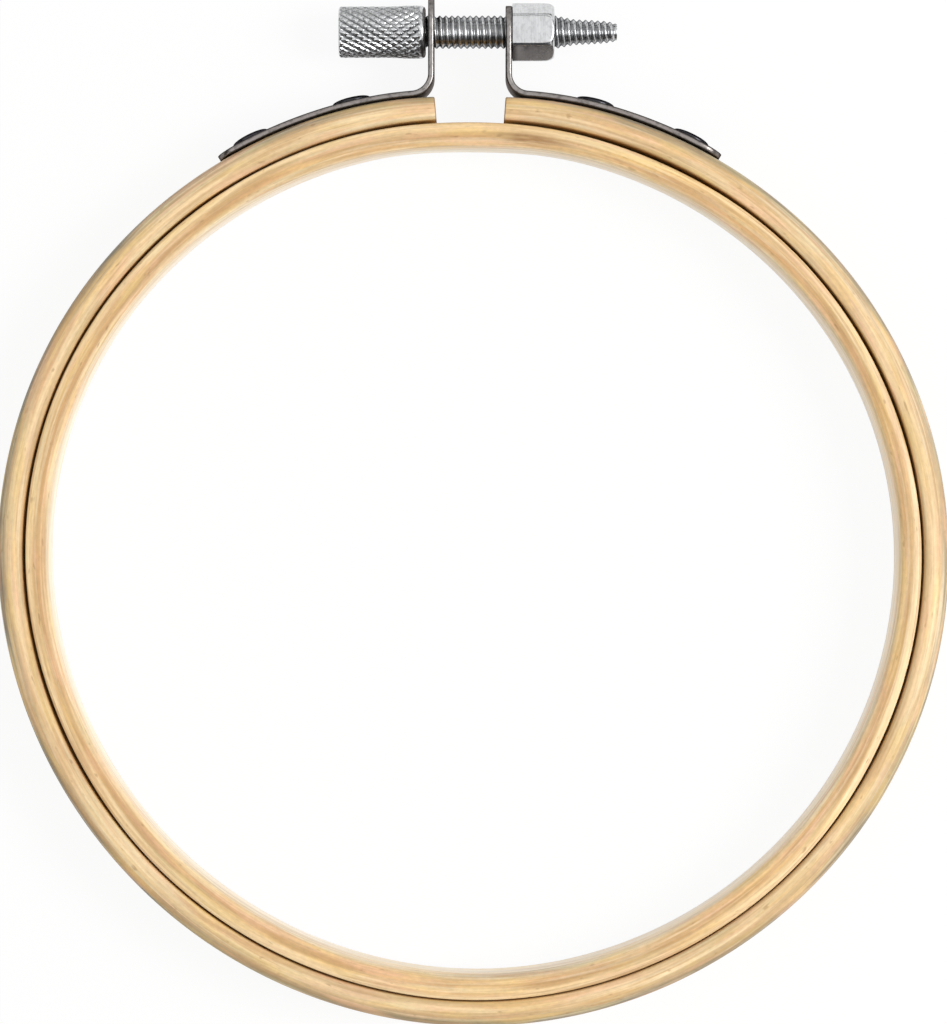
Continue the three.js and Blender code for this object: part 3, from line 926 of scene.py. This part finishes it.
class HOOP_OT_brackets(bpy.types.Operator):
    """Add the two bent and pierced strips"""

    bl_idname = "embroidery_hoop.brackets"
    bl_label = "Brackets"

    def execute(self, context):
        sizes = context.scene.hoop_sizes
        clamp = context.scene.clamp_sizes
        colours = context.scene.hoop_colours
        plate = plated_material(
            "nickelled_steel_strip", colours, colours.strip, (9, 0.09), 0.3, 0.4, 4.0,
            colours.strip_slant)
        for side, name, body, top, hole in (
                (1, "right_bracket", "outer_ring", RIGHT_BRACKET_BOX[1][1], NECK_HOLE),
                (-1, "left_bracket", "left_clamp", LEFT_BRACKET_BOX[1][1], SCREW_HOLE)):
            rows, sheared, corner_shade = strip_rows(strip_path(sizes, clamp, side, top), clamp)
            # The corner share is painted shade in the plate's recess colour.
            piece = grid_mesh(name + "_strip", rows, False, True, plate, sheared=sheared,
                              recess=corner_shade)
            ear_x = side * (clamp.ear_gap + clamp.strip_thickness) / 2
            cut_with_cylinder(piece, (ear_x, SCREW_Y, SCREW_Z), hole, 4 * MM)
            sharpen(piece, 35)
            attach(piece, body)
            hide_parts(name)
        return {"FINISHED"}


RIVET_STEPS = 40
DOME_STEPS = 10
SHANK_RADIUS = 0.95 * MM
CLINCH_RADIUS = 1.6 * MM
HEAD_RADIUS = 2.2 * MM
HEAD_RIM = 0.2 * MM
DOME_RISE = 0.45 * MM


def rivet_profile(clinch, seat):
    """A rivet's outline as (radius, distance) from the clinched tail's face to the dome."""
    profile = [
        (0.02 * MM, clinch), (1.4 * MM, clinch), (CLINCH_RADIUS, clinch + 0.12 * MM),
        (CLINCH_RADIUS, clinch + 0.42 * MM), (SHANK_RADIUS, clinch + 0.45 * MM),
        (SHANK_RADIUS, seat), (HEAD_RADIUS - 0.2 * MM, seat),
        (HEAD_RADIUS - 0.04 * MM, seat + 0.06 * MM), (HEAD_RADIUS, seat + HEAD_RIM)]
    for step in range(1, DOME_STEPS + 1):
        rise = math.radians(90 * step / DOME_STEPS)
        profile.append((max(HEAD_RADIUS * math.cos(rise) ** 0.85, 0.01 * MM),
                        seat + HEAD_RIM + DOME_RISE * math.sin(rise)))
    return profile


class HOOP_OT_rivets(bpy.types.Operator):
    """Add the four rivets with their clinched tails"""

    bl_idname = "embroidery_hoop.rivets"
    bl_label = "Rivets"

    def execute(self, context):
        sizes = context.scene.hoop_sizes
        clamp = context.scene.clamp_sizes
        colours = context.scene.hoop_colours
        plate = plated_material("dark_steel_rivet", colours, colours.rivet, (3, 0.2), 0.3, 0.3,
                                6.0, colours.rivet_slant)
        seat = clamp.strip_thickness / 2 + 0.02 * MM
        clinch = 0.15 * MM - clamp.strip_thickness / 2 - sizes.outer_wall
        for name, side, degrees, body in (
                ("left_inner_rivet", -1, 15.0, "left_clamp"),
                ("left_outer_rivet", -1, 28.0, "left_clamp"),
                ("right_inner_rivet", 1, 15.0, "outer_ring"),
                ("right_outer_rivet", 1, 27.4, "outer_ring")):
            point, outward = flange_point(sizes, clamp, side, math.radians(degrees))
            point.z = SCREW_Z
            piece = turned_piece(name + "_head", rivet_profile(clinch, seat), RIVET_STEPS,
                                 plate, point, outward)
            sharpen(piece, 40)
            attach(piece, body)
            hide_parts(name)
        return {"FINISHED"}


SCREW_STEPS = 48
SCREW_STEPS_IN_PITCH = 14
# Length over which the thread runs out at either end.
THREAD_RUNOUT = 0.5 * MM
# The screw thins towards its point: each place along it, and how much thinner, in mm.
SCREW_TAPER = (
    (9.9, 0.0), (12.0, 0.42), (13.8, 0.5), (15.6, 0.62), (16.4, 0.76), (16.9, 0.98))


def thread_shares(x, pitch, steps):
    """Depth shares round a ring of a rolled, soft thread: 0 on the crest, 1 in the root."""
    return [0.5 - 0.5 * math.cos(2 * math.pi * (x / pitch - turn / (2 * math.pi)))
            for turn in ring_turns(steps)]


def screw_radius(clamp, x):
    """Radius over the crests along the screw, which thins towards its point."""
    if x <= SCREW_TAPER[0][0] * MM:
        return clamp.thread_radius
    for (start, thin), (end, thinner) in zip(SCREW_TAPER, SCREW_TAPER[1:]):
        if x <= end * MM:
            part = (x / MM - start) / (end - start)
            return clamp.thread_radius - (thin + (thinner - thin) * part) * MM
    return clamp.thread_radius - SCREW_TAPER[-1][1] * MM


class HOOP_OT_screw(bpy.types.Operator):
    """Add the threaded screw"""

    bl_idname = "embroidery_hoop.screw"
    bl_label = "Screw"

    def execute(self, context):
        clamp = context.scene.clamp_sizes
        colours = context.scene.hoop_colours
        plate = plated_material(
            "nickelled_rolled_thread", colours, colours.nickel, (2.0, 0.12), 0.2, 0.35, 8.0,
            colours.thread_slant)
        start = SCREW_BOX[0][0]
        end = SCREW_BOX[1][0]
        count = int((end - start) / clamp.thread_pitch * SCREW_STEPS_IN_PITCH)
        rows = []
        recess = []
        for i in range(count + 1):
            x = start + (end - start) * i / count
            top = screw_radius(clamp, x)
            fade = max(0.0, min(1.0, (end - x) / THREAD_RUNOUT, (x - start) / THREAD_RUNOUT))
            shares = thread_shares(x, clamp.thread_pitch, SCREW_STEPS)
            radii = [top - clamp.thread_depth * share * fade for share in shares]
            rows.append(axis_ring(x, radii, clamp.thread_radius))
            # Painted shade in the thread's roots.
            recess += [0.65 * share ** 2 * fade for share in shares]
        piece = grid_mesh("clamp_screw_thread", rows, False, True, plate, recess=recess)
        sharpen(piece, 60)
        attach(piece, "screw")
        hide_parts("clamp_screw")
        return {"FINISHED"}


KNOB_RADIUS = (KNOB_BOX[1][2] - KNOB_BOX[0][2]) / 2
KNOB_STEPS = 110
GROOVE_STEPS = 12
# Roundings at the knob's free end and at its shoulder, and the dish of its end face.
KNOB_EDGE = 0.35 * MM
KNOB_SHOULDER = 0.6 * MM
KNOB_DISH = 0.075 * MM
# Plain band beside the shoulder, and where the knurl runs out at either end.
PLAIN_BAND = 0.5 * MM
BAND_RUNOUT = 0.35 * MM
END_RUNOUT = 0.3 * MM
# Shares of the pitch that the grooves of either hand take up.
FIRST_GROOVE = 0.62
SECOND_GROOVE = 0.5
# The pressed bore: its room round the thread, its chamfer and its depth.
KNOB_BORE_ROOM = 0.1 * MM
KNOB_BORE_CHAMFER = 0.15 * MM
KNOB_BORE_DEPTH = 8.0 * MM
# Radius at which the knob's surface map is laid out.
KNOB_MAP = 3 * MM


def knob_outline(x):
    """Radius of the turned blank along the knob, which is a little fuller near the ear."""
    left = KNOB_BOX[0][0]
    radius = KNOB_RADIUS - corner_inset(x - left, KNOB_EDGE)
    radius += 0.1 * MM * smooth_share(x, left + 5.5 * MM, left + 8.5 * MM)
    return radius - 0.75 * corner_inset(KNOB_BOX[1][0] - x, KNOB_SHOULDER)


def groove(phase, width):
    """Depth share of a V groove once in each unit of phase."""
    away = abs(phase % 1.0 - 0.5) * 2
    return max(0.0, (away - (1 - width)) / width)


class HOOP_OT_knob(bpy.types.Operator):
    """Add the knurled knob"""

    bl_idname = "embroidery_hoop.knob"
    bl_label = "Knob"

    def execute(self, context):
        clamp = context.scene.clamp_sizes
        colours = context.scene.hoop_colours
        plate = plated_material(
            "nickelled_knurled_knob", colours, colours.nickel, (2.0, 0.1), 0.2, 0.3, 12.0)
        left = KNOB_BOX[0][0]
        right = KNOB_BOX[1][0]
        lead = 2 * math.pi * KNOB_RADIUS / math.tan(clamp.knurl_angle)
        around = clamp.knurl_starts * GROOVE_STEPS
        grip_end = right - PLAIN_BAND
        bore = clamp.thread_radius + KNOB_BORE_ROOM
        rows = []
        recess = []
        for share in (0.05, 0.35, 0.65, 0.95):
            radius = share * (KNOB_RADIUS - KNOB_EDGE)
            rows.append(axis_ring(left + KNOB_DISH * (1 - share) ** 2, [radius] * around, KNOB_MAP))
            recess += [0.0] * around
        for i in range(KNOB_STEPS + 1):
            x = left + (right - left) * i / KNOB_STEPS
            blank = knob_outline(x)
            fade = min(1.0, max(0.0, (grip_end - x) / BAND_RUNOUT), (x - left) / END_RUNOUT)
            # One hand of grooves is the deeper at the free end, the other beside the ear.
            along = min(1.0, max(0.0, (x - left) / (right - left) * 2.4 - 1.0))
            cuts = []
            for j in range(around):
                turn = j / around
                first = groove(clamp.knurl_starts * (turn - x / lead), FIRST_GROOVE)
                second = groove(clamp.knurl_starts * (turn + x / lead), SECOND_GROOVE)
                cuts.append(
                    max(first * (1 - 0.45 * along), second * (0.45 + 0.5 * along)) * fade)
            rows.append(axis_ring(x, [blank - clamp.knurl_depth * cut for cut in cuts], KNOB_MAP))
            # Painted shade in the knurl's grooves.
            recess += [0.75 * cut for cut in cuts]
        for x, radius in (
                (right, bore + KNOB_BORE_CHAMFER), (right - KNOB_BORE_CHAMFER, bore),
                (right - KNOB_BORE_DEPTH + 0.2 * MM, bore),
                (right - KNOB_BORE_DEPTH, 0.05 * MM)):
            rows.append(axis_ring(x, [radius] * around, KNOB_MAP))
            # Painted shade inside the bore.
            recess += [0.3] * around
        piece = grid_mesh("knurled_knob_grip", rows, False, True, plate, recess=recess)
        sharpen(piece, 45)
        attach(piece, "screw")
        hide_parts("knurled_knob")
        return {"FINISHED"}


NUT_FLAT = (NUT_BOX[1][2] - NUT_BOX[0][2]) / 2
NUT_CORNER = NUT_FLAT / math.cos(math.pi / 6)
NUT_NECK = 2.5 * MM
NUT_FACE = 2.75 * MM
NUT_STEPS = 240
NUT_STEPS_IN_PITCH = 8
# Steps along the nut's flats, and on its domed end, with the degrees of each.
FLAT_STEPS = 12
CROWN_STEPS = 18
CROWN_DEGREES = 5
# Softness of the corners between two faces, and of those with the turned crown.
CORNER_SOFTNESS = 0.42 * MM
CROWN_SOFTNESS = 0.15 * MM
# The faces fall off by this towards their corners.
FACE_FALL = 0.02 * MM
# Depth of the countersink at the free end, and of the nut's own thread, which has room
# for the small tilt that the bending of the hoop gives the screw.
COUNTERSINK = 0.3 * MM
NUT_THREAD_DEPTH = 0.3 * MM
NUT_BORE_ROOM = 0.2 * MM
# Radii at which the nut's surface map is laid out, outside and in the thread.
NUT_MAP = 3.5 * MM
BORE_MAP = 2 * MM


def soft_least(first, second, softness):
    """The lesser of two lengths, eased down where they differ by less than a softness."""
    nearness = max(0.0, softness - abs(first - second))
    return min(first, second) - nearness ** 2 / (4 * softness)


def hexagon_radii(envelope):
    """Radii round the nut's hexagon, with a flat up, turned down to an envelope."""
    radii = []
    for turn in ring_turns(NUT_STEPS):
        from_flat = turn % (math.pi / 3) - math.pi / 6
        face = NUT_FLAT / math.cos(from_flat)
        next_face = NUT_FLAT / math.cos(math.pi / 3 - abs(from_flat))
        hexagon = soft_least(face, next_face, CORNER_SOFTNESS)
        hexagon -= FACE_FALL * (from_flat / (math.pi / 6)) ** 4
        radii.append(soft_least(hexagon, envelope, CROWN_SOFTNESS))
    return radii


class HOOP_OT_nut(bpy.types.Operator):
    """Add the hexagon nut that is swaged into the right ear"""

    bl_idname = "embroidery_hoop.nut"
    bl_label = "Nut"

    def execute(self, context):
        clamp = context.scene.clamp_sizes
        colours = context.scene.hoop_colours
        plate = plated_material(
            "nickelled_hexagon_nut", colours, colours.nickel, (3.0, 0.15), 0.2, 0.15, 15.0)
        ear_in = clamp.ear_gap / 2
        ear_out = ear_in + clamp.strip_thickness
        flat_start = ear_out + 0.2 * MM
        crown_start = ear_out + 3.1 * MM
        right = NUT_BOX[1][0]
        bore = clamp.thread_radius + NUT_BORE_ROOM
        # Each station: its place along the axis, and the envelope's radius there.
        stations = [(ear_in, NUT_NECK - 0.15 * MM), (ear_in, NUT_NECK),
                    (ear_out - 0.02 * MM, NUT_NECK), (ear_out + 0.01 * MM, NUT_FLAT * 0.8),
                    (ear_out + 0.01 * MM, NUT_FLAT * 0.96), (ear_out + 0.1 * MM, NUT_CORNER * 1.02)]
        for step in range(FLAT_STEPS):
            place = flat_start + (crown_start - flat_start) * step / FLAT_STEPS
            stations.append((place, NUT_CORNER * 1.1))
        for step in range(CROWN_STEPS + 1):
            turn = math.radians(CROWN_DEGREES * step)
            stations.append((crown_start + (right - crown_start) * math.sin(turn),
                             NUT_FACE + (NUT_CORNER - NUT_FACE) * math.cos(turn)))
        thread_start = right - COUNTERSINK
        stations += [(right, NUT_NECK), (thread_start, bore + 0.1 * MM)]
        rows = [axis_ring(x, hexagon_radii(envelope), NUT_MAP) for x, envelope in stations]
        recess = [0.0] * NUT_STEPS * len(stations)
        length = thread_start - ear_in
        count = int(length / clamp.thread_pitch * NUT_STEPS_IN_PITCH)
        for i in range(1, count):
            x = thread_start - length * i / count
            depth = NUT_THREAD_DEPTH * min(1, i / 4, (count - i) / 4)
            radii = [bore + 0.1 * MM - depth * share
                     for share in thread_shares(x, clamp.thread_pitch, NUT_STEPS)]
            rows.append(axis_ring(x, radii, BORE_MAP))
            # Painted shade in the nut's thread.
            recess += [0.5] * NUT_STEPS
        rows.append(axis_ring(ear_in, [bore + 0.12 * MM] * NUT_STEPS, NUT_MAP))
        # Painted shade in the bore.
        recess += [0.3] * NUT_STEPS
        piece = grid_mesh("clamp_nut_hexagon", rows, True, True, plate, recess=recess)
        sharpen(piece, 30)
        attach(piece, "outer_ring")
        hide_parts("clamp_nut")
        return {"FINISHED"}


WHITE = (1, 1, 1, 1)
SENSOR_HEIGHT_MM = 36.0


def sees_backdrop(tree):
    """1 for camera, glossy and transmission rays, which see the backdrop as white."""
    path = add_node(tree, "ShaderNodeLightPath")
    seen = path.outputs["Is Camera Ray"]
    for ray in ("Is Glossy Ray", "Is Transmission Ray"):
        seen = add_node(tree, "ShaderNodeMath", {"operation": "MAXIMUM"}, {
            0: seen, 1: path.outputs[ray]})
    return seen


def floor_material(colours, stage):
    """Matt studio paper, lifted towards white for the camera so that its shadow stays soft."""
    material, tree = new_material("studio_paper")
    paper = add_node(tree, "ShaderNodeBsdfDiffuse", {"Color": linear(colours.floor)})
    white = add_node(tree, "ShaderNodeEmission", {"Color": WHITE, "Strength": 1.0})
    share = add_node(tree, "ShaderNodeMath", {
        "operation": "MULTIPLY", 1: 1 - stage.shadow_share}, {0: sees_backdrop(tree)})
    mixed = add_node(tree, "ShaderNodeMixShader", None, {0: share, 1: paper, 2: white})
    add_node(tree, "ShaderNodeOutputMaterial", None, {"Surface": mixed})
    return material


def flag_material(name, colour):
    """Cloth on a studio flag: it gives bright metal something dark to mirror."""
    material, tree = new_material(name)
    cloth = add_node(tree, "ShaderNodeBsdfDiffuse", {"Color": linear(colour)})
    add_node(tree, "ShaderNodeOutputMaterial", None, {"Surface": cloth})
    return material


def flag(name, material, place, width, height):
    """An upright dark card that only mirrored rays can see, turned to the middle."""
    bpy.ops.mesh.primitive_plane_add(size=1.0, location=place)
    card = bpy.context.active_object
    card.name = name
    card.scale = (width, height, 1)
    card.rotation_euler = (math.pi / 2, 0, math.atan2(-place[0], place[1]))
    card.data.materials.append(material)
    card.visible_camera = False
    card.visible_diffuse = False
    card.visible_shadow = False


def softbox(name, power, size, place):
    """A square area light that faces the hoop."""
    lamp = bpy.data.lights.new(name, "AREA")
    lamp.shape = "SQUARE"
    lamp.size = size
    lamp.energy = power
    light = bpy.data.objects.new(name, lamp)
    light.location = place
    light.rotation_euler = (-Vector(place)).to_track_quat("-Z", "Y").to_euler()
    bpy.context.scene.collection.objects.link(light)


class HOOP_OT_stage(bpy.types.Operator):
    """Set up the floor, the lights and the camera"""

    bl_idname = "embroidery_hoop.stage"
    bl_label = "Stage"

    def execute(self, context):
        scene = context.scene
        stage = scene.stage_settings
        colours = scene.hoop_colours
        bpy.ops.mesh.primitive_plane_add(size=4.0, location=(0, 0, 0))
        floor = bpy.context.active_object
        floor.name = "studio_floor"
        floor.data.materials.append(floor_material(colours, stage))

        softbox("key_softbox", stage.key_power, 0.35, (0.52, 0.02, 0.52))
        softbox("fill_softbox", stage.fill_power, 0.6, (-0.35, -0.1, 0.7))
        black = flag_material("black_flag_cloth", colours.black_flag)
        grey = flag_material("grey_flag_cloth", colours.grey_flag)
        flag("back_low_flag", black, (0, 0.75, 0.085), 1.3, 0.17)
        flag("back_high_flag", black, (0, 0.75, 0.54), 1.3, 0.14)
        flag("front_flag", grey, (0, -0.6, 0.5), 1.1, 1.0)
        flag("left_flag", black, (-0.75, 0, 0.3), 1.0, 0.6)
        flag("right_flag", black, (0.75, 0, 0.2), 1.0, 0.4)

        world = bpy.data.worlds.new("studio")
        world.use_nodes = True
        tree = world.node_tree
        tree.nodes.clear()
        room = add_node(tree, "ShaderNodeBackground", {
            "Color": WHITE, "Strength": stage.room_level})
        white = add_node(tree, "ShaderNodeBackground", {"Color": WHITE, "Strength": 1.0})
        mixed = add_node(tree, "ShaderNodeMixShader", None, {
            0: sees_backdrop(tree), 1: room, 2: white})
        add_node(tree, "ShaderNodeOutputWorld", None, {"Surface": mixed})
        scene.world = world
        scene.view_settings.view_transform = "Standard"

        camera_data = bpy.data.cameras.new("camera")
        camera_data.sensor_fit = "VERTICAL"
        camera_data.sensor_height = SENSOR_HEIGHT_MM
        camera_data.lens = SENSOR_HEIGHT_MM * stage.camera_distance / stage.view_height
        camera_data.clip_start = 0.01
        camera_data.clip_end = 20.0
        camera = bpy.data.objects.new("camera", camera_data)
        camera.location = (
            scene.hoop_sizes.clamp_offset, 0, HOOP_HEIGHT + stage.camera_distance)
        scene.collection.objects.link(camera)
        scene.camera = camera
        return {"FINISHED"}


class HOOP_PT_sidebar(bpy.types.Panel):
    """Lists the hoop's pieces"""

    bl_label = "Embroidery Hoop"
    bl_idname = "HOOP_PT_sidebar"
    bl_space_type = "VIEW_3D"
    bl_region_type = "UI"
    bl_category = "Embroidery Hoop"

    def draw(self, context):
        layout = self.layout
        for operator in OPERATORS:
            layout.operator(operator.bl_idname)


OPERATORS = (
    HOOP_OT_outer,
    HOOP_OT_inner,
    HOOP_OT_brackets,
    HOOP_OT_rivets,
    HOOP_OT_nut,
    HOOP_OT_screw,
    HOOP_OT_knob,
    HOOP_OT_stage,
)
SETTINGS = {
    "hoop_sizes": HoopSizes,
    "clamp_sizes": ClampSizes,
    "hoop_colours": HoopColours,
    "stage_settings": StageSettings,
}


def register():
    """Registers the settings, the operators and the panel."""
    for name, group in SETTINGS.items():
        bpy.utils.register_class(group)
        setattr(bpy.types.Scene, name, bpy.props.PointerProperty(type=group))
    for operator in OPERATORS:
        bpy.utils.register_class(operator)
    bpy.utils.register_class(HOOP_PT_sidebar)


def unregister():
    """Takes the panel, the operators and the settings away again."""
    bpy.utils.unregister_class(HOOP_PT_sidebar)
    for operator in reversed(OPERATORS):
        bpy.utils.unregister_class(operator)
    for name, group in SETTINGS.items():
        delattr(bpy.types.Scene, name)
        bpy.utils.unregister_class(group)


def main():
    """Builds the pieces and the stage in order."""
    register()
    bpy.ops.embroidery_hoop.outer()
    bpy.ops.embroidery_hoop.inner()
    bpy.ops.embroidery_hoop.brackets()
    bpy.ops.embroidery_hoop.rivets()
    bpy.ops.embroidery_hoop.nut()
    bpy.ops.embroidery_hoop.screw()
    bpy.ops.embroidery_hoop.knob()
    bpy.ops.embroidery_hoop.stage()
    bpy.context.view_layer.update()


if __name__ == "__main__":
    main()
